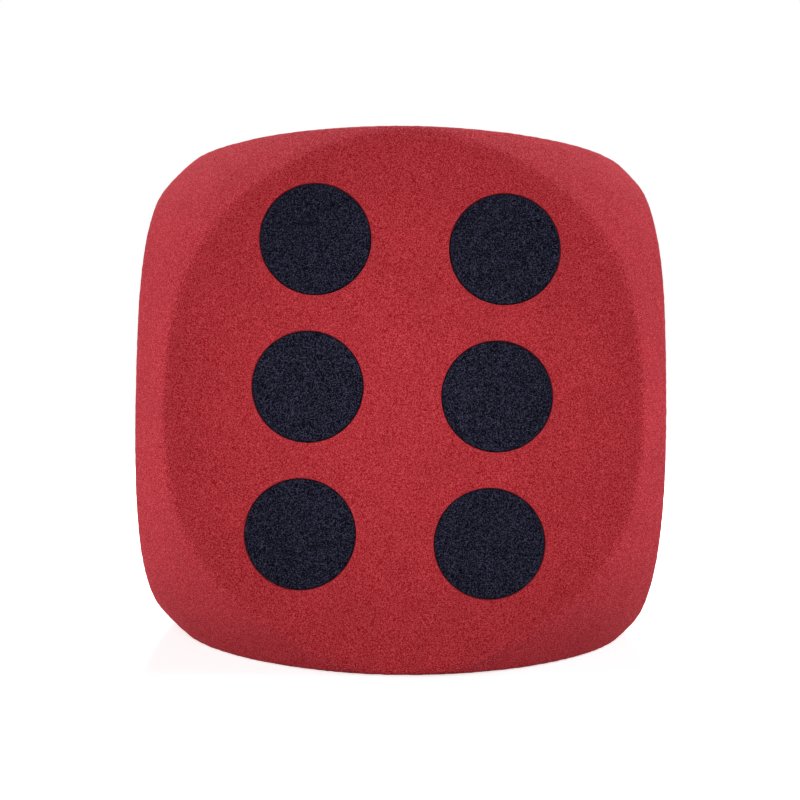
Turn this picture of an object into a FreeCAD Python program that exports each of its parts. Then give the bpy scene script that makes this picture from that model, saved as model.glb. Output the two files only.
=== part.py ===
# A big throwing die of closed-cell foam: one block with ground corners and twenty-one inlaid pips.
# Millimetres. +Z is up, the six faces -Y, and the origin is the middle of the face it stands on.
import FreeCAD, Part
import os

# Driving dimensions, written once.  Lengths are in millimetres and the turn is in degrees.
SIZES = {
    # The block is a cube of foam.
    "edge": 150.0,
    # Its corners and edges are ground to a ball that is a little oval.  Each value says how far
    # that ball would stand out past the middle of the faces across one direction.
    "ball_past_x": 22.9,
    "ball_past_y": 28.0,
    "ball_past_z": 32.8,
    # A pip is a punched foam disc, glued into a pocket and lying just below the face.
    "pip_width": 30.2,
    "pip_thickness": 7.0,
    "pip_play": 0.15,
    "pip_recess": 0.2,
    # Corner pips of the two, three, four and five lie on a square of this side.
    "corner_pitch": 66.0,
    # The six is two columns of three.  It was set by hand, so it lies a little turned and high.
    "six_columns": 51.8,
    "six_rows": 40.3,
    "six_turn": 2.4,
    "six_rise": 2.8,
    "six_shift": -0.5,
    # Tools that cut reach this far past the face.
    "tool_spare": 5.0,
}

# Each face: the way it points, the way across it and the way up it.  Opposite faces add to seven.
FACES = {
    "one": ((0, 1, 0), (-1, 0, 0), (0, 0, 1)),
    "two": ((0, 0, -1), (1, 0, 0), (0, -1, 0)),
    "three": ((-1, 0, 0), (0, -1, 0), (0, 0, 1)),
    "four": ((1, 0, 0), (0, 1, 0), (0, 0, 1)),
    "five": ((0, 0, 1), (1, 0, 0), (0, 1, 0)),
    "six": ((0, -1, 0), (1, 0, 0), (0, 0, 1)),
}

# Where the pips of a face lie, in half pitches across and up; the six counts half columns and rows.
DIAGONAL = [(-1, 1), (1, -1)]
OTHER_DIAGONAL = [(-1, -1), (1, 1)]
MIDDLE = [(0, 0)]
PATTERNS = {
    "one": MIDDLE,
    "two": DIAGONAL,
    "three": DIAGONAL + MIDDLE,
    "four": DIAGONAL + OTHER_DIAGONAL,
    "five": DIAGONAL + OTHER_DIAGONAL + MIDDLE,
    "six": [(column, row) for row in (1, 0, -1) for column in (-1, 1)],
}


def fill_sheet(document):
    """Write every driving dimension into the spreadsheet, one cell and one alias each."""
    sheet = document.addObject("Spreadsheet::Sheet", "Sizes")
    for number, (alias, value) in enumerate(SIZES.items(), start=1):
        sheet.set("A%d" % number, alias)
        sheet.set("B%d" % number, str(value))
        sheet.setAlias("B%d" % number, alias)
    document.recompute()


def ground_form(document, name, inset):
    """The cube cut by the ball, with every surface drawn in by the expression inset."""
    cube = document.addObject("Part::Box", name + "_cube")
    for side in ("Length", "Width", "Height"):
        cube.setExpression(side, "Sizes.edge - 2 * %s" % inset)
    for axis in ("x", "y"):
        cube.setExpression("Placement.Base." + axis, "%s - Sizes.edge / 2" % inset)
    cube.setExpression("Placement.Base.z", inset)
    ball = document.addObject("Part::Ellipsoid", name + "_ball")
    for radius, axis in (("Radius1", "z"), ("Radius2", "x"), ("Radius3", "y")):
        ball.setExpression(radius, "Sizes.edge / 2 + Sizes.ball_past_%s - %s" % (axis, inset))
    ball.setExpression("Placement.Base.z", "Sizes.edge / 2")
    form = document.addObject("Part::Common", name)
    form.Base = cube
    form.Tool = ball
    return form


def pip_place(face, column, row):
    """Expressions for how far across and up the face one pip lies."""
    if face != "six":
        return "(%d * Sizes.corner_pitch / 2)" % column, "(%d * Sizes.corner_pitch / 2)" % row
    across = "(%d * Sizes.six_columns / 2)" % column
    up = "(%d * Sizes.six_rows)" % row
    sine = "sin(Sizes.six_turn * 1 deg)"
    cosine = "cos(Sizes.six_turn * 1 deg)"
    turned_across = "(%s * %s + %s * %s + Sizes.six_shift)" % (across, cosine, up, sine)
    turned_up = "(%s * %s - %s * %s + Sizes.six_rise)" % (up, cosine, across, sine)
    return turned_across, turned_up


def upright_plug(document, name, face, spot, radius):
    """A cylinder that stands on the pocket's floor and reaches past the face."""
    out, right, up = FACES[face]
    across, rise = pip_place(face, *spot)
    floor = "(Sizes.edge / 2 - Sizes.pip_recess - Sizes.pip_thickness)"
    plug = document.addObject("Part::Cylinder", name)
    plug.setExpression("Radius", radius)
    plug.setExpression("Height", "Sizes.pip_thickness + Sizes.pip_recess + Sizes.tool_spare")
    turn = FreeCAD.Rotation(FreeCAD.Vector(0, 0, 1), FreeCAD.Vector(*out))
    plug.Placement = FreeCAD.Placement(FreeCAD.Vector(0, 0, 0), turn)
    for number, axis in enumerate("xyz"):
        terms = [
            "%d * %s" % (out[number], floor),
            "%d * %s" % (right[number], across),
            "%d * %s" % (up[number], rise),
        ]
        if axis == "z":
            terms.append("Sizes.edge / 2")
        plug.setExpression("Placement.Base." + axis, " + ".join(terms))
    return plug


def inlaid_pip(document, label, face, spot, limit):
    """One foam disc: a plug cut off just below the surface of the block."""
    plug = upright_plug(document, label + "_plug", face, spot, "Sizes.pip_width / 2")
    pip = document.addObject("Part::Common", label)
    pip.Label = label
    pip.Base = plug
    pip.Tool = limit
    return pip


def foam_block(document, label, form, pockets):
    """The ground block with one round pocket punched for each pip."""
    cutter = document.addObject("Part::MultiFuse", "pocket_cutter")
    cutter.Shapes = pockets
    block = document.addObject("Part::Cut", label)
    block.Label = label
    block.Base = form
    block.Tool = cutter
    return block


def check(document, nodes):
    """Stop if anything in the document failed, or a piece is not one sound solid."""
    for item in document.Objects:
        if "Invalid" in item.State or "Error" in item.State:
            raise RuntimeError("%s failed: %s" % (item.Label, item.State))
    for node in nodes:
        if node.Shape.isNull() or not node.Shape.isValid() or len(node.Shape.Solids) != 1:
            raise RuntimeError("%s is not one sound solid" % node.Label)


def build():
    document = FreeCAD.newDocument("foam_die")
    fill_sheet(document)
    form = ground_form(document, "block_form", "0")
    limit = ground_form(document, "pip_limit", "Sizes.pip_recess")
    nodes = []
    pockets = []
    for face, pattern in PATTERNS.items():
        for number, spot in enumerate(pattern, start=1):
            label = "%s_pip_%d" % (face, number)
            nodes.append(inlaid_pip(document, label, face, spot, limit))
            pocket_radius = "Sizes.pip_width / 2 + Sizes.pip_play"
            pockets.append(upright_plug(document, label + "_pocket", face, spot, pocket_radius))
    nodes.insert(0, foam_block(document, "foam_block", form, pockets))
    document.recompute()
    check(document, nodes)
    os.makedirs("parts", exist_ok=True)
    for node in nodes:
        node.Shape.exportStep("parts/%s.step" % node.Label)
        box = node.Shape.BoundBox
        print("%-12s %9.1f mm3  x %6.1f %6.1f  y %6.1f %6.1f  z %6.1f %6.1f" % (
            node.Label, node.Shape.Volume, box.XMin, box.XMax, box.YMin, box.YMax, box.ZMin, box.ZMax))


build()
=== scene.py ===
# %% [markdown]
# # A giant foam yard die
#
# The real die is one block of red closed-cell foam.  It is sawn to a cube, its corners and edges
# are ground away on a belt until they lie on one big ball, and a round pocket is punched for every
# pip.  Each pip is a disc of black foam, punched from a sheet and glued into its pocket.
#
# The construction model holds the sizes and the places.  This script gives the die its looks: the
# soft crease where a flat face meets the ground ball, the fine open grain of cut foam, and the
# thin shadow line round each pip.

# %% Load the fixed frame
import math

import bmesh
import bpy
import numpy as np
from mathutils import Matrix, Vector, noise
from mathutils.geometry import delaunay_2d_cdt


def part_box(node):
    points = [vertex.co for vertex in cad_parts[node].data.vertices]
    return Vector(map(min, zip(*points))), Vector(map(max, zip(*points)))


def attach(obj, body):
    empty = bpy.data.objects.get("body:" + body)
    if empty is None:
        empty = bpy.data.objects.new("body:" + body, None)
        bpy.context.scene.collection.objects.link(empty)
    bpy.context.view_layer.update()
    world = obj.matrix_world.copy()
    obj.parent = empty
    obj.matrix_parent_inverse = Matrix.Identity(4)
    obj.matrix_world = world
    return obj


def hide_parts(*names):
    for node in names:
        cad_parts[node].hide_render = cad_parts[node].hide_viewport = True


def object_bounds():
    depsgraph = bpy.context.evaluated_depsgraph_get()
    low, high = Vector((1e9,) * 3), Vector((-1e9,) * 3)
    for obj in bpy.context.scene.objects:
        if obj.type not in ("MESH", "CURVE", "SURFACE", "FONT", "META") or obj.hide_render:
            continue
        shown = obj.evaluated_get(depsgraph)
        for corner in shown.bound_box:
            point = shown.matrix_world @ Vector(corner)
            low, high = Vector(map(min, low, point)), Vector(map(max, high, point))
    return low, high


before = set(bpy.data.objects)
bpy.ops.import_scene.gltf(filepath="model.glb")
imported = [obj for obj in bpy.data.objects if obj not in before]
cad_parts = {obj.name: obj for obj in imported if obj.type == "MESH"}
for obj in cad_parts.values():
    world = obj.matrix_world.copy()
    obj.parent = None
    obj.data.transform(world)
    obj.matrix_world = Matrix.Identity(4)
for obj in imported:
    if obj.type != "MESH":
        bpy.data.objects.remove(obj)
cad_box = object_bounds()
MM = 0.001
low = np.array(cad_box[0]) / MM
high = np.array(cad_box[1]) / MM
CENTRE = (low + high) / 2
HALF = (high - low) / 2
print("die centre in mm", CENTRE, "half edges", HALF)

# %% [markdown]
# ## The six faces
#
# Every face is described by three directions: out of the face, across it and up it.  A point on a
# face then has two plain numbers, across and up, and one function can build all six faces.

# %% Directions of the six faces
FACES = {
    "one": ((0, 1, 0), (-1, 0, 0), (0, 0, 1)),
    "two": ((0, 0, -1), (1, 0, 0), (0, -1, 0)),
    "three": ((-1, 0, 0), (0, -1, 0), (0, 0, 1)),
    "four": ((1, 0, 0), (0, 1, 0), (0, 0, 1)),
    "five": ((0, 0, 1), (1, 0, 0), (0, 1, 0)),
    "six": ((0, -1, 0), (1, 0, 0), (0, 0, 1)),
}
FACES = {face: np.array(ways, float) for face, ways in FACES.items()}


def pips_on(face):
    """Centre across and up, radius and depth of the top below the face, for each pip, in mm."""
    out, right, up = FACES[face]
    found = []
    for node in sorted(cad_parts):
        if not node.startswith(face + "_pip_"):
            continue
        corners = np.array(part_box(node)) / MM - CENTRE
        middle = corners.mean(axis=0)
        radius = abs((corners[1] - corners[0]) @ right) / 2
        tops = corners @ out
        recess = HALF @ abs(out) - tops.max()
        thick = tops.max() - tops.min()
        found.append({
            "node": node, "across": middle @ right, "up": middle @ up,
            "radius": radius, "recess": recess, "thick": thick,
        })
    return found


PIPS = {face: pips_on(face) for face in FACES}
print({face: len(pips) for face, pips in PIPS.items()})

# %% [markdown]
# ## The ground form
#
# A belt grinder leaves no exact fillet.  Seen from the middle of the block, the surface in any
# direction is whichever comes first: one of the flat faces or the ball.  A plain minimum would
# give a knife-sharp crease, and foam has none, so a soft minimum rounds it over a millimetre or
# two.  Hand grinding leaves the ball a few millimetres out of true, and two sides of this block
# stand a little proud of the plain cube.  Cutting a cube with a ball and bevelling the edge could
# make the form too, but the formula gives an even mesh and carries the unevenness with it.

# %% Surface of the block
# Everything in mm: the ball's radii across, front to back and up; how softly flat and ball meet;
# for so many high spots round the ball, how proud they are at the start and a quarter spot on;
# and how far two of the flat sides stand proud.
BALL = np.array([96.3, 104.1, 106.9])
CREASE_SOFTNESS = 0.6
HIGH_SPOTS = {1: (0.5, -0.2), 3: (-0.6, 0.0), 4: (-2.5, 0.0), 5: (0.0, -0.6), 6: (-2.0, 0.0)}
PROUD_SIDES = {"three": 1.7, "five": 1.3}
NEVER_ZERO = 1e-6


def unevenness(direction):
    """Millimetres the ball stands proud, in so many high spots round its front-to-back axis."""
    turn = np.arctan2(direction[:, 2], direction[:, 0])
    rim = (1 - direction[:, 1] ** 2) ** 2
    proud = np.zeros(len(direction))
    for count, (start, quarter_on) in HIGH_SPOTS.items():
        proud += start * np.cos(count * turn) + quarter_on * np.sin(count * turn)
    return proud * rim


def surface_reach(direction):
    """Distance from the middle to the surface along unit directions, and how ground it is there."""
    safe = np.maximum(np.abs(direction), NEVER_ZERO)
    flats = HALF / safe
    for face, extra in PROUD_SIDES.items():
        facing = direction @ FACES[face][0]
        axis = int(np.argmax(abs(FACES[face][0])))
        flats[:, axis] += np.where(facing > 0, extra / safe[:, axis], 0)
    ball = 1 / np.linalg.norm(direction / BALL, axis=1) + unevenness(direction)
    every = np.column_stack([flats, ball])
    reach = -CREASE_SOFTNESS * np.logaddexp.reduce(-every / CREASE_SOFTNESS, axis=1)
    ground = 1 / (1 + np.exp((ball - flats.min(axis=1)) / CREASE_SOFTNESS))
    return reach, ground


samples = np.array([[0, -1, 0], [0, -math.sqrt(0.5), math.sqrt(0.5)], [math.sqrt(1 / 3)] * 3])
print("mm to the front, to an edge and to a corner", surface_reach(samples)[0].round(1))

# %% [markdown]
# ## A mesh that knows the pips
#
# The face is filled with points on a triangular lattice, closer together in the middle of a face,
# where it looks flat, than at the corners.  Round every pip the lattice stops and rings of points
# take over, so that the rim of the pocket is a true circle.  A Delaunay triangulation joins them.
# A Boolean cut would also make the pockets, but it leaves long thin faces round the rim.

# %% Points of one face
# Lattice steps along a face; a pocket's worn rim as mm outwards and mm down; points round a ring;
# and in mm the play round a pip, and the gap between the last ring and the lattice.
LATTICE = 180
RIM_PROFILE = [(0.0, 0.42), (0.1, 0.17), (0.25, 0.05), (0.5, 0.0), (1.0, 0.0), (1.6, 0.0)]
RIM_POINTS = 160
POCKET_PLAY = 0.15
LATTICE_GAP = 0.4


def spread(share):
    """Turn an even share from -1 to 1 into a place on the face, even as seen from the middle."""
    return np.tan(share * math.pi / 4)


def lattice_points(half):
    """Points on a triangular lattice inside the square face, and points along its border."""
    step = 2 / LATTICE
    rows = int(round(2 / (step * math.sqrt(3) / 2)))
    inner = []
    for row in range(1, rows):
        rise = -1 + 2 * row / rows
        shift = 0.25 * step * (1 if row % 2 else -1)
        places = np.linspace(-1, 1, LATTICE + 1)[1:-1] + shift
        inner.append(np.column_stack([places, np.full_like(places, rise)]))
    inner = np.vstack(inner)
    side = np.linspace(-1, 1, LATTICE + 1)
    edges = [np.column_stack([side, np.full_like(side, end)]) for end in (-1, 1)]
    edges += [np.column_stack([np.full_like(side[1:-1], end), side[1:-1]]) for end in (-1, 1)]
    border = np.vstack(edges)
    return spread(inner) * half, spread(border) * half


def ring(pip, radius):
    """Points on a circle round a pip."""
    turn = np.linspace(0, 2 * math.pi, RIM_POINTS, endpoint=False)
    circle = np.column_stack([np.cos(turn), np.sin(turn)])
    return circle * radius + np.array([pip["across"], pip["up"]])


def triangles(points, loops):
    """Delaunay triangles of flat points; loops are runs of points that must stay edges."""
    edges = []
    for first, count in loops:
        edges += [(first + i, first + (i + 1) % count) for i in range(count)]
    flat = [Vector(p) for p in points.tolist()]
    made = delaunay_2d_cdt(flat, edges, [], 0, 1e-6, False)
    assert len(made[0]) == len(points), "the triangulation added or lost points"
    return np.array(made[2])


def face_mesh(face):
    """Points in mm from the die's middle, groundness, skin, triangles and pocket rims of one face.

    Groundness is 1 where the belt has been and 0 on a sawn flat.  Skin is 1 on the open surface and
    falls to 0 at the rim of a pocket.
    """
    out, right, up = FACES[face]
    half = HALF @ abs(out)
    inner, border = lattice_points(half)
    for pip in PIPS[face]:
        cleared = pip["radius"] + POCKET_PLAY + RIM_PROFILE[-1][0] + LATTICE_GAP
        away = np.hypot(inner[:, 0] - pip["across"], inner[:, 1] - pip["up"])
        inner = inner[away > cleared]
    total = len(border) + len(inner)
    points = [border, inner]
    depths = [np.zeros(total)]
    skin = [np.ones(total)]
    loops = []
    for pip in PIPS[face]:
        for number, (outward, depth) in enumerate(RIM_PROFILE):
            if number == 0:
                loops.append((total, RIM_POINTS))
            points.append(ring(pip, pip["radius"] + POCKET_PLAY + outward))
            depths.append(np.full(RIM_POINTS, depth))
            skin.append(np.full(RIM_POINTS, min(1.0, outward / RIM_PROFILE[3][0])))
            total += RIM_POINTS
    points = np.vstack(points)
    depths = np.concatenate(depths)
    skin = np.concatenate(skin)
    tris = triangles(points, loops)
    middles = points[tris].mean(axis=1)
    keep = np.ones(len(tris), bool)
    for pip in PIPS[face]:
        away = np.hypot(middles[:, 0] - pip["across"], middles[:, 1] - pip["up"])
        keep &= away > pip["radius"] + POCKET_PLAY
    tris = tris[keep]
    direction = out * half + points[:, :1] * right + points[:, 1:] * up
    direction /= np.linalg.norm(direction, axis=1)[:, None]
    reach, ground = surface_reach(direction)
    solid = direction * reach[:, None] - out * depths[:, None]
    return solid, ground, skin, tris, loops


example = face_mesh("six")
print("six face:", len(example[0]), "points", len(example[3]), "triangles")

# %% [markdown]
# ## Pockets and the closed block
#
# A pocket is a ring of points carried straight down in a few rows and closed with one flat floor.
# All six faces are then put in one mesh, and the doubled points along their borders are merged, so
# the block is one closed skin, as a solid piece of foam is.

# %% Build the block
# Rows of a pocket's wall, and mm between points that are merged.
POCKET_ROWS = 3
MERGE_DISTANCE = 0.01


def pocket_faces(rim_index, wall_index, count):
    """Quads from a pocket's rim down its wall, and the floor."""
    faces = []
    upper = [rim_index + i for i in range(count)]
    for row in range(POCKET_ROWS):
        lower = [wall_index + row * count + i for i in range(count)]
        for i in range(count):
            j = (i + 1) % count
            faces.append([upper[j], upper[i], lower[i], lower[j]])
        upper = lower
    faces.append(upper)
    return faces


def block_parts():
    """Points, groundness, skin and faces of the six faces with their pockets."""
    all_points, all_ground, all_skin, all_faces = [], [], [], []
    start = 0
    for face, (out, right, up) in FACES.items():
        points, ground, skin, tris, loops = face_mesh(face)
        all_faces += (tris + start).tolist()
        walls = []
        for pip, (first, count) in zip(PIPS[face], loops):
            depth = pip["recess"] + pip["thick"] - RIM_PROFILE[0][1]
            rim = points[first:first + count]
            wall_index = start + len(points) + sum(len(wall) for wall in walls)
            all_faces += pocket_faces(start + first, wall_index, count)
            steps = [(row + 1) / POCKET_ROWS for row in range(POCKET_ROWS)]
            walls.append(np.vstack([rim - out * depth * step for step in steps]))
        deep = sum(len(wall) for wall in walls)
        all_points += [points] + walls
        all_ground.append(np.concatenate([ground, np.zeros(deep)]))
        all_skin.append(np.concatenate([skin, np.zeros(deep)]))
        start += len(points) + deep
    return np.vstack(all_points), np.concatenate(all_ground), np.concatenate(all_skin), all_faces


def mesh_object(name, points, faces, attributes):
    """A smooth-shaded object in metres from points in mm round the die's middle."""
    mesh = bpy.data.meshes.new(name)
    mesh.from_pydata(((points + CENTRE) * MM).tolist(), [], faces)
    for attribute, values in attributes.items():
        layer = mesh.attributes.new(attribute, "FLOAT", "POINT")
        layer.data.foreach_set("value", values.astype(np.float32))
    work = bmesh.new()
    work.from_mesh(mesh)
    bmesh.ops.remove_doubles(work, verts=work.verts, dist=MERGE_DISTANCE * MM)
    bmesh.ops.recalc_face_normals(work, faces=work.faces)
    open_edges = sum(1 for edge in work.edges if not edge.is_manifold)
    volume = work.calc_volume() / MM ** 3
    work.to_mesh(mesh)
    work.free()
    print(name, len(mesh.vertices), "points", open_edges, "open edges", round(volume), "mm3")
    mesh.shade_smooth()
    piece = bpy.data.objects.new(name, mesh)
    bpy.context.scene.collection.objects.link(piece)
    return piece


points, ground, skin, faces = block_parts()
block = mesh_object("red_foam_block", points, faces, {"ground": ground, "skin": skin})

# %% [markdown]
# ## Foam relief
#
# Cut foam is never quite flat.  The belt leaves shallow waves a few centimetres long on the ground
# parts, and the cut cells leave a fine roughness everywhere.  Both are real relief in the mesh, so
# that the outline shows them too: to and fro on the ground parts, inwards only on the flat faces.

# %% Relief in the mesh
# All in mm except the gain, which stretches the noise so that it nearly fills 0 to 1.
WAVE_LENGTH = 26.0
WAVE_DEPTH = 0.25
GRAIN_LENGTH = 1.8
GRAIN_DEPTH = 0.22
NOISE_GAIN = 0.6


def lumps(points, length, seed):
    """Smooth noise from 0 to 1, lumps about length millimetres apart; each seed gives others."""
    away = Vector((17.3 * seed, 5.1 * seed, 11.9 * seed))
    values = [noise.noise(Vector(p) / length + away) for p in points.tolist()]
    return np.clip(np.array(values) * NOISE_GAIN + 0.5, 0, 1)


def read_floats(data, field, width=1):
    """A run of numbers out of a mesh, as an array."""
    values = np.empty(len(data) * width, np.float32)
    data.foreach_get(field, values)
    return values.reshape(-1, width) if width > 1 else values


def roughen(piece, grain_depth, wave_depth):
    """Press waves and grain into the skin of a piece, but not into pocket walls."""
    mesh = piece.data
    points = read_floats(mesh.vertices, "co", 3).astype(float) / MM
    normals = read_floats(mesh.vertex_normals, "vector", 3)
    skin = read_floats(mesh.attributes["skin"].data, "value")
    ground = read_floats(mesh.attributes["ground"].data, "value")
    depth = wave_depth * ground * (lumps(points, WAVE_LENGTH, 1) - 0.5)
    depth += grain_depth * (0.5 + 0.5 * ground) * (lumps(points, GRAIN_LENGTH, 2) - 0.5 * ground)
    points -= normals * (depth * skin)[:, None]
    mesh.vertices.foreach_set("co", (points * MM).astype(np.float32).ravel())
    mesh.update()
    print(piece.name, "relief from", round(depth.min(), 3), "to", round(depth.max(), 3), "mm")


roughen(block, GRAIN_DEPTH, WAVE_DEPTH)

# %% [markdown]
# ## Foam pips
#
# A pip is a disc punched from black foam sheet.  The punch leaves a slightly rounded rim, and the
# disc sits a hair below the red face, so a thin shadow runs round it.

# %% Build the pips
# Points round a disc; its rounded rim as mm inwards and mm down; and in mm the step between the
# points inside it, and their gap from the last ring.
PIP_POINTS = 128
PIP_PROFILE = [(0.0, 0.34), (0.08, 0.14), (0.22, 0.04), (0.45, 0.0), (0.9, 0.0)]
PIP_STEP = 0.55
PIP_GAP = 0.3


def pip_parts(face, pip):
    """Points, skin and faces of one disc, closed by a wall and a flat back."""
    out, right, up = FACES[face]
    radius = pip["radius"]
    turn = np.linspace(0, 2 * math.pi, PIP_POINTS, endpoint=False)
    circle = np.column_stack([np.cos(turn), np.sin(turn)])
    rings = [circle * (radius - inward) for inward, depth in PIP_PROFILE]
    depths = [np.full(PIP_POINTS, depth) for inward, depth in PIP_PROFILE]
    rim_width = PIP_PROFILE[3][0]
    skin = [np.full(PIP_POINTS, min(1.0, inward / rim_width)) for inward, depth in PIP_PROFILE]
    count = int(radius / PIP_STEP) + 1
    steps = np.arange(-count, count + 1)
    grid = np.array([(PIP_STEP * (i + 0.5 * (j % 2)), PIP_STEP * j * math.sqrt(0.75))
                     for i in steps for j in steps])
    grid = grid[np.hypot(grid[:, 0], grid[:, 1]) < radius - PIP_PROFILE[-1][0] - PIP_GAP]
    flat = np.vstack(rings + [grid])
    depths = np.concatenate(depths + [np.zeros(len(grid))])
    skin = np.concatenate(skin + [np.ones(len(grid))])
    tris = triangles(flat, [(0, PIP_POINTS)])
    top = HALF @ abs(out) + PROUD_SIDES.get(face, 0) - pip["recess"] - depths
    flat = flat + np.array([pip["across"], pip["up"]])
    points = out * top[:, None] + flat[:, :1] * right + flat[:, 1:] * up
    back = points[:PIP_POINTS] - out * (pip["thick"] - PIP_PROFILE[0][1])
    faces = tris.tolist()
    base = len(points)
    for i in range(PIP_POINTS):
        j = (i + 1) % PIP_POINTS
        faces.append([j, i, base + i, base + j])
    faces.append([base + i for i in range(PIP_POINTS)])
    points = np.vstack([points, back])
    skin = np.concatenate([skin, np.zeros(PIP_POINTS)])
    return points, skin, faces


pip_pieces = {}
for face, pips in PIPS.items():
    for pip in pips:
        points, skin, faces = pip_parts(face, pip)
        name = pip["node"] + "_foam"
        values = {"ground": np.zeros(len(points)), "skin": skin}
        pip_pieces[pip["node"]] = mesh_object(name, points, faces, values)
        roughen(pip_pieces[pip["node"]], GRAIN_DEPTH, 0)

# %% [markdown]
# ## Colours and nodes
#
# Colours are written as the sRGB hex values a paint shop would give, and one function turns them
# to the linear numbers a shader needs.  One more function adds a node with its settings and links.

# %% Helpers for materials
def linear(hex_colour):
    """Linear RGBA from an sRGB hex colour such as #AA2E36."""
    parts = [int(hex_colour[i:i + 2], 16) / 255 for i in (1, 3, 5)]
    return tuple(p / 12.92 if p <= 0.04045 else ((p + 0.055) / 1.055) ** 2.4 for p in parts) + (1.0,)


def add(tree, kind, settings=None, **sockets):
    """Add one node; sockets maps an input to a value or to another node's output.

    An input goes by its name, with _ for a space, or by its number after a _.
    """
    made = tree.nodes.new(kind)
    for name, value in (settings or {}).items():
        setattr(made, name, value)
    for name, value in sockets.items():
        socket = made.inputs[int(name[1:])] if name[0] == "_" else made.inputs[name.replace("_", " ")]
        if isinstance(value, bpy.types.NodeSocket):
            tree.links.new(value, socket)
        else:
            socket.default_value = value
    return made


def new_material(name):
    """An empty node material and its tree."""
    material = bpy.data.materials.new(name)
    material.use_nodes = True
    material.node_tree.nodes.clear()
    return material, material.node_tree


print("a mid red in linear light", [round(part, 3) for part in linear("#B0303A")])

# %% [markdown]
# ## Cut EVA foam
#
# EVA foam is a rubbery plastic blown full of closed cells.  Sawn or ground, it shows the cells cut
# open: pits between walls.  Real cells are a few tenths of a millimetre wide.  Here they are drawn
# coarser, about half a millimetre apart, with a finer fuzz of torn walls over them, since anything
# finer would vanish at arm's length.  The colour follows the same height as the bump: the pit
# floors are painted darker as shade in the hollows, and only the highest torn tips are painted
# pale, partly the whitish fuzz of torn walls and partly painted glints where they catch the light,
# so pale tones are rare and dark ones common.  The pits swallow nearly all of the plastic's own
# shine.  The belt tears the foam finer than the saw does, and the ground parts are painted a little
# paler: partly the finer tear, partly painted sheen.  A wrapped image of foam could give the same
# speckle, but noise in millimetres fits every face and shows no seam.

# %% The foam material
# Spacings and depth in mm; then the share of the cells in the height, the power that keeps pale
# tones (partly painted glints) to the tips, how much the blotches lighten or darken, and the foam's
# own numbers.
CELL = 0.55
FUZZ = 0.24
BLOTCH = 11.0
PIT_DEPTH = 0.2
CELL_SHARE = 0.12
PALE_PEAKS = 1.6
BLOTCH_TONE = 0.05
BUMP_STRENGTH = 0.8
FOAM_ROUGHNESS = 0.92
EVA_IOR = 1.49


def cut_foam(name, sawn_tones, torn_and_sheen_tones, tone_heights, shine):
    """Open cells in colour and bump, faint blotches, and paler ground: finer tear, painted sheen."""
    material, tree = new_material(name)
    place = add(tree, "ShaderNodeTexCoord").outputs["Object"]
    cells = add(tree, "ShaderNodeTexVoronoi", {"feature": "SMOOTH_F1"}, Vector=place,
                Scale=1 / (CELL * MM), Smoothness=0.3)
    fuzz = add(tree, "ShaderNodeTexNoise", Vector=place, Scale=1 / (FUZZ * MM), Detail=1.0)
    blotch = add(tree, "ShaderNodeTexNoise", Vector=place, Scale=1 / (BLOTCH * MM), Detail=2.0)
    walls = add(tree, "ShaderNodeMapRange", Value=cells.outputs["Distance"], From_Min=0.1,
                From_Max=0.6)
    height = add(tree, "ShaderNodeMix", {"data_type": "FLOAT"}, Factor=1 - CELL_SHARE,
                 _2=walls.outputs["Result"], _3=fuzz.outputs["Fac"])
    rise = add(tree, "ShaderNodeMapRange", Value=height.outputs[0], From_Min=tone_heights[0],
               From_Max=tone_heights[1])
    tone = add(tree, "ShaderNodeMath", {"operation": "POWER"}, _0=rise.outputs["Result"],
               _1=PALE_PEAKS)
    sawn = add(tree, "ShaderNodeMix", {"data_type": "RGBA"}, Factor=tone.outputs[0],
               _6=linear(sawn_tones[0]), _7=linear(sawn_tones[1]))
    torn_and_sheen = add(tree, "ShaderNodeMix", {"data_type": "RGBA"}, Factor=tone.outputs[0],
               _6=linear(torn_and_sheen_tones[0]), _7=linear(torn_and_sheen_tones[1]))
    ground = add(tree, "ShaderNodeAttribute", {"attribute_name": "ground"})
    base = add(tree, "ShaderNodeMix", {"data_type": "RGBA"}, Factor=ground.outputs["Fac"],
               _6=sawn.outputs[2], _7=torn_and_sheen.outputs[2])
    share = add(tree, "ShaderNodeMapRange", Value=blotch.outputs["Fac"], From_Min=0.3, From_Max=0.7,
                To_Min=1 - BLOTCH_TONE, To_Max=1 + BLOTCH_TONE)
    final = add(tree, "ShaderNodeHueSaturation", Color=base.outputs[2], Value=share.outputs["Result"])
    bump = add(tree, "ShaderNodeBump", Height=height.outputs[0], Distance=PIT_DEPTH * MM,
               Strength=BUMP_STRENGTH)
    shader = add(tree, "ShaderNodeBsdfPrincipled", Base_Color=final.outputs["Color"],
                 Roughness=FOAM_ROUGHNESS, IOR=EVA_IOR, Specular_IOR_Level=shine,
                 Normal=bump.outputs["Normal"])
    add(tree, "ShaderNodeOutputMaterial", Surface=shader.outputs["BSDF"])
    print(name, len(tree.nodes), "nodes")
    return material


# Each pair is a pit's colour and a tip's; the two heights are where the one turns to the other.
# In each pair the dark pit colour is painted shade in the cell hollows, and the pale tip colour is
# partly the whitish fuzz of torn walls and partly painted glints.
SAWN_RED = ("#8C0C13", "#D04A53")
# The torn pair is paler than the sawn pair: partly the belt's finer tear, partly painted sheen on the
# ground bands.
TORN_AND_SHEEN_RED = ("#98000A", "#DA5764")
BLACK = ("#080810", "#424258")
red_foam = cut_foam("cut_red_eva_foam", SAWN_RED, TORN_AND_SHEEN_RED, (0.37, 0.69), 0.1)
black_foam = cut_foam("cut_black_eva_foam", BLACK, BLACK, (0.45, 0.71), 0.0)

# %% [markdown]
# ## Dress the pieces
#
# Every new piece takes the place of its plain construction solid, rides on the one body, and takes
# its foam material.

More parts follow.
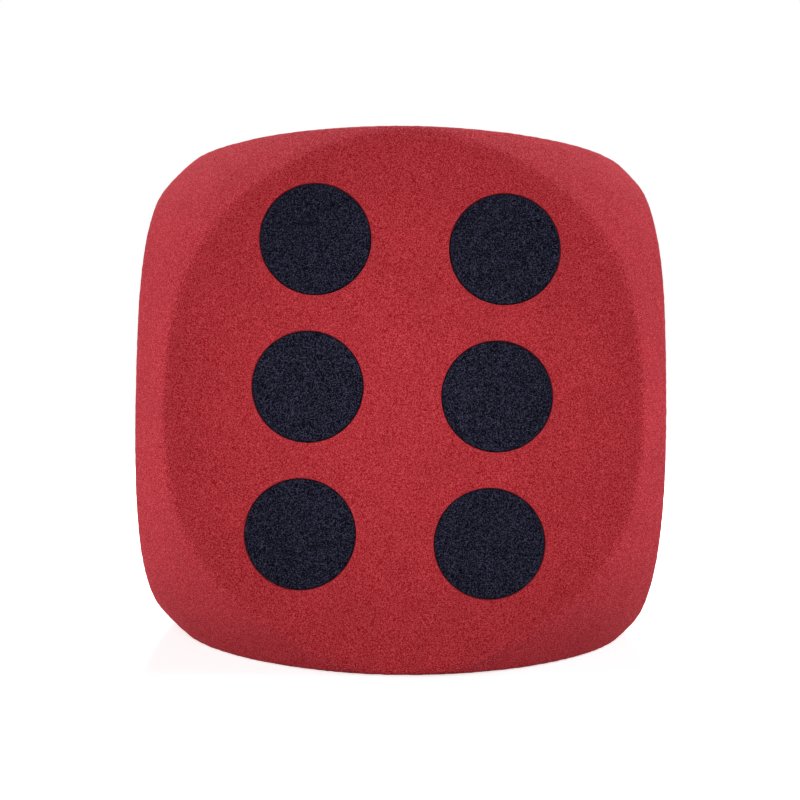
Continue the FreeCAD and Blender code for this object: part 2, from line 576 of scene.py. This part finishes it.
# %% Put the pieces in the frame
def settle(piece, node, material):
    """Give a piece its material and its place in the frame."""
    piece.data.materials.append(material)
    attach(piece, "root")
    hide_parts(node)


settle(block, "foam_block", red_foam)
for node, piece in pip_pieces.items():
    settle(piece, node, black_foam)
print(1 + len(pip_pieces), "pieces dressed and in place")

# %% [markdown]
# ## Floor and light
#
# A white floor and a white surround, as in a studio for cut-out pictures.  The floor takes the
# die's soft shadow close by and fades to plain white further off, so that no horizon shows.  Only
# rays that look straight at it see that white: the light it throws back at the die is plain.

# %% Floor
# Half the floor's side in metres; its colour as seen, and as it lights the die; how much of it
# glows close to the die, and the metres from the die at which the glow starts to take over.
FLOOR_HALF = 3.0
FLOOR_WHITE = "#E6E6E6"
FLOOR_BOUNCE = "#C0C0C0"
FLOOR_GLOW = 0.6
SHADOW_REACH = 0.3


def looked_at(tree):
    """1 for a ray that looks straight at the surface, also in a reflection or through glass."""
    rays = add(tree, "ShaderNodeLightPath")
    seen = add(tree, "ShaderNodeMath", {"operation": "MAXIMUM"}, _0=rays.outputs["Is Camera Ray"],
               _1=rays.outputs["Is Glossy Ray"])
    seen = add(tree, "ShaderNodeMath", {"operation": "MAXIMUM"}, _0=seen.outputs[0],
               _1=rays.outputs["Is Transmission Ray"])
    return seen.outputs[0]


def white_floor():
    """Matt card that reads as pure white when looked at but throws little light up at the die."""
    material, tree = new_material("white_card_floor")
    looked = looked_at(tree)
    place = add(tree, "ShaderNodeTexCoord").outputs["Object"]
    away = add(tree, "ShaderNodeVectorMath", {"operation": "LENGTH"}, _0=place)
    fade = add(tree, "ShaderNodeMapRange", Value=away.outputs["Value"], From_Min=SHADOW_REACH,
               From_Max=2 * SHADOW_REACH, To_Min=FLOOR_GLOW, To_Max=1.0)
    colour = add(tree, "ShaderNodeMix", {"data_type": "RGBA"}, Factor=looked,
                 _6=linear(FLOOR_BOUNCE), _7=linear(FLOOR_WHITE))
    card = add(tree, "ShaderNodeBsdfDiffuse", Color=colour.outputs[2])
    glow = add(tree, "ShaderNodeEmission", Color=linear("#FFFFFF"), Strength=looked)
    blend = add(tree, "ShaderNodeMixShader", Fac=fade.outputs["Result"], _1=card.outputs[0],
                _2=glow.outputs[0])
    bright = add(tree, "ShaderNodeAddShader", _0=card.outputs[0], _1=blend.outputs[0])
    final = add(tree, "ShaderNodeMixShader", Fac=looked, _1=card.outputs[0], _2=bright.outputs[0])
    add(tree, "ShaderNodeOutputMaterial", Surface=final.outputs[0])
    return material


corners = [(-FLOOR_HALF, -FLOOR_HALF, 0), (FLOOR_HALF, -FLOOR_HALF, 0), (FLOOR_HALF, FLOOR_HALF, 0),
           (-FLOOR_HALF, FLOOR_HALF, 0)]
floor_mesh = bpy.data.meshes.new("studio_floor")
floor_mesh.from_pydata(corners, [], [(0, 1, 2, 3)])
floor = bpy.data.objects.new("studio_floor", floor_mesh)
bpy.context.scene.collection.objects.link(floor)
floor.data.materials.append(white_floor())
print("floor", 2 * FLOOR_HALF, "m square")

# %% [markdown]
# ## Lamps
#
# Five square soft boxes stand round the die and model its ground corners softly.  Two spots from
# above the camera fade from the middle of their cones outwards, so that the front face is lightest
# in its middle.  One large lamp would light the whole face evenly.

# %% Surround and soft boxes
# Strength of the surround as it lights the die.
AMBIENT = 0.1


def surround():
    """An even white world."""
    world = bpy.data.worlds.new("studio_surround")
    bpy.context.scene.world = world
    world.use_nodes = True
    tree = world.node_tree
    tree.nodes.clear()
    level = add(tree, "ShaderNodeMapRange", Value=looked_at(tree), To_Min=AMBIENT, To_Max=1.0)
    back = add(tree, "ShaderNodeBackground", Color=linear("#FFFFFF"), Strength=level.outputs[0])
    add(tree, "ShaderNodeOutputWorld", Surface=back.outputs[0])


def soft_lamp(name, place, width, power):
    """A square lamp that looks at the die's middle; place is in metres from it."""
    lamp = bpy.data.lights.new(name, "AREA")
    lamp.size = width
    lamp.energy = power
    holder = bpy.data.objects.new(name, lamp)
    bpy.context.scene.collection.objects.link(holder)
    middle = Vector(CENTRE * MM)
    holder.location = middle + Vector(place)
    holder.rotation_euler = (-Vector(place)).to_track_quat("-Z", "Y").to_euler()


surround()
# Metres from the die's middle, width in metres and power in watts.
LAMPS = {
    "left_box": ((-1.0, 0.0, 0.1), 0.5, 6.9),
    "right_box": ((1.0, 0.0, 0.25), 0.5, 5.6),
    "top_box": ((0.0, 0.45, 0.9), 0.5, 9.7),
    "front_box": ((0.0, -0.95, 0.1), 0.5, 3.7),
    "back_box": ((0.0, 0.95, 0.2), 0.5, 3.5),
}
for name, (place, width, power) in LAMPS.items():
    soft_lamp(name, place, width, power)
print(len(LAMPS), "soft boxes,", round(sum(power for place, width, power in LAMPS.values()), 1), "W")

# %% Two front spots
# In metres; then for each spot the place it aims at, its cone in degrees and its power in watts.
SPOT_PLACE = (0.0, -0.9, 0.3)
SPOT_RADIUS = 0.05
SPOTS = {
    "wide_spot": ((0.008, -0.075, -0.006), 13.4, 8.9),
    "narrow_spot": ((-0.015, -0.075, -0.003), 10.6, 5.0),
}


def spot_lamp(name, aim, cone, power):
    """A round spot whose light fades from the middle of its cone to nothing at the edge."""
    lamp = bpy.data.lights.new(name, "SPOT")
    lamp.energy = power
    lamp.spot_size = math.radians(cone)
    lamp.spot_blend = 1.0
    lamp.shadow_soft_size = SPOT_RADIUS
    holder = bpy.data.objects.new(name, lamp)
    bpy.context.scene.collection.objects.link(holder)
    holder.location = Vector(CENTRE * MM) + Vector(SPOT_PLACE)
    holder.rotation_euler = (Vector(aim) - Vector(SPOT_PLACE)).to_track_quat("-Z", "Y").to_euler()


for name, (aim, cone, power) in SPOTS.items():
    spot_lamp(name, aim, cone, power)
print(len(SPOTS), "spots,", round(sum(power for aim, cone, power in SPOTS.values()), 1), "W")

# %% [markdown]
# ## Camera
#
# The camera stands level with the middle of the die, just under 40 cm from it, and is turned by
# fractions of a degree: hand-held, but almost square on.  From further off the ground bands round
# the face would look wider, so the distance is settled first and the lens after it.

# %% Camera
# Distance in mm, turns in degrees, lens and sensor in mm, shifts as shares of the picture, and the
# nearest thing that shows in metres.
CAMERA_AWAY = 394.0
CAMERA_YAW = 0.707
CAMERA_ROLL = 0.584
SENSOR_WIDTH = 36
LENS = 52.674
SHIFT_ACROSS = -0.0011
SHIFT_UP = 0.0024
NEAREST = 0.01

camera_data = bpy.data.cameras.new("camera")
camera_data.sensor_width = SENSOR_WIDTH
camera_data.lens = LENS
camera_data.shift_x = SHIFT_ACROSS
camera_data.shift_y = SHIFT_UP
camera_data.clip_start = NEAREST
camera = bpy.data.objects.new("camera", camera_data)
bpy.context.scene.collection.objects.link(camera)
turn = Matrix.Rotation(math.radians(CAMERA_ROLL), 4, "Y")
turn = turn @ Matrix.Rotation(math.radians(CAMERA_YAW), 4, "Z")
back_off = Matrix.Translation((0, -CAMERA_AWAY * MM, 0))
look_ahead = Matrix.Rotation(math.radians(90), 4, "X")
camera.matrix_world = Matrix.Translation(CENTRE * MM) @ turn.transposed() @ back_off @ look_ahead
bpy.context.scene.camera = camera
bpy.context.scene.view_settings.view_transform = "Standard"
print("camera", [round(value, 3) for value in camera.matrix_world.translation], "m")
